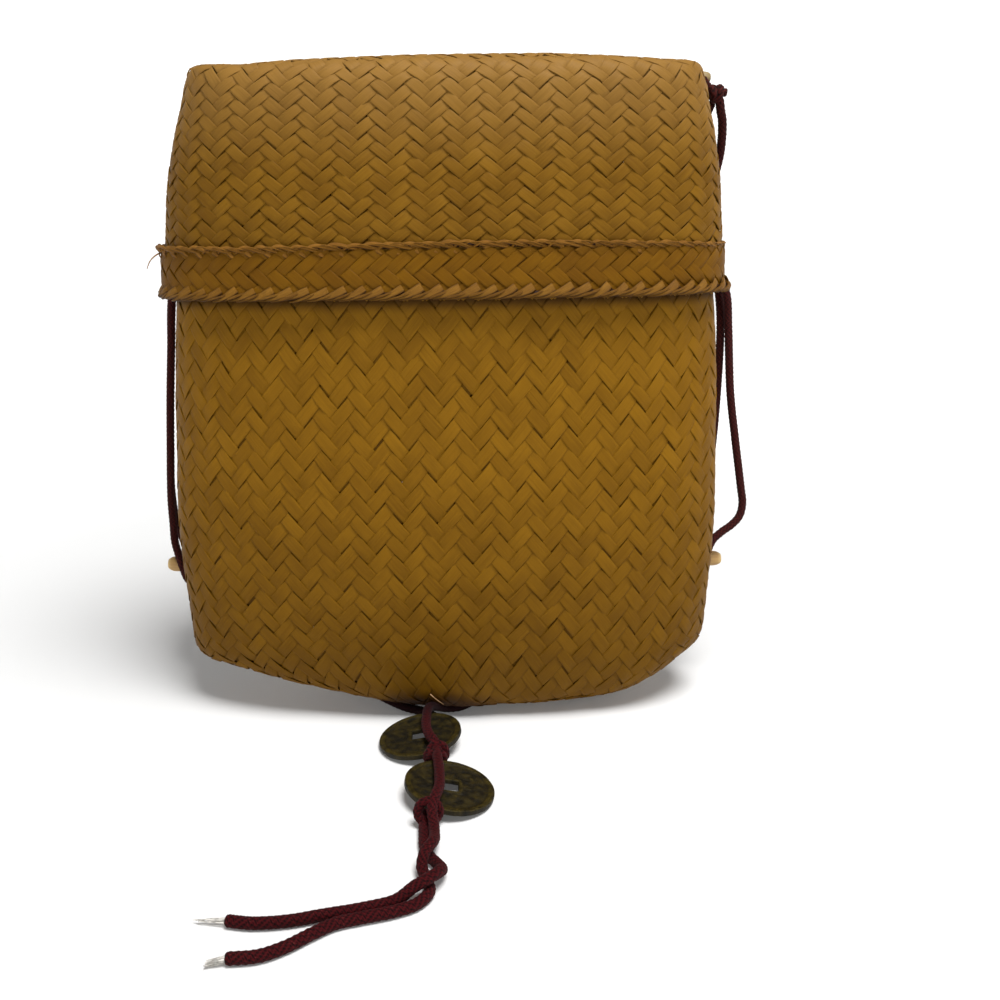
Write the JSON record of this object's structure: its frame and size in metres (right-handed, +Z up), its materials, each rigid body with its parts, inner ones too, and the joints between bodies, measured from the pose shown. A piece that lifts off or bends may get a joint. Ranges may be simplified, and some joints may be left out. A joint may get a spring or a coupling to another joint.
{
  "type": "bamboo basket backpack",
  "caption": "Upright woven bamboo basket backpack with a slide-over lid, cord shoulder straps looped round a stick, and a corded tail strung with holed coins.",
  "frame": {"origin": "on the floor under the middle of the basket", "axes": "+Z up, -Y towards the front where the tail cords lie, +X to the right as seen from the front"},
  "size_m": [0.2025, 0.1721, 0.204],
  "materials": {
    "bamboo": "satin woven strips",
    "braid": "satin plaited strips",
    "stick": "matte",
    "cord": "matte braided",
    "coin_metal": "dark worn",
    "core": "matte frayed"
  },
  "bodies": {
    "root": {"base_basket": "bamboo", "lid": "bamboo", "lid_band": "bamboo", "lid_upper_braid": "braid", "lid_rim_braid": "braid", "lower_stick": "stick", "upper_stick": "stick", "strap_right": "cord", "strap_left": "cord", "strap_knot": "cord", "tail_low": "cord", "tail_high": "cord", "coin_upper": "coin_metal", "coin_lower": "coin_metal", "coin_knot_upper": "cord", "coin_knot_lower": "cord", "frayed_core_a": "core", "frayed_core_b": "core"}
  },
  "joints": []
}
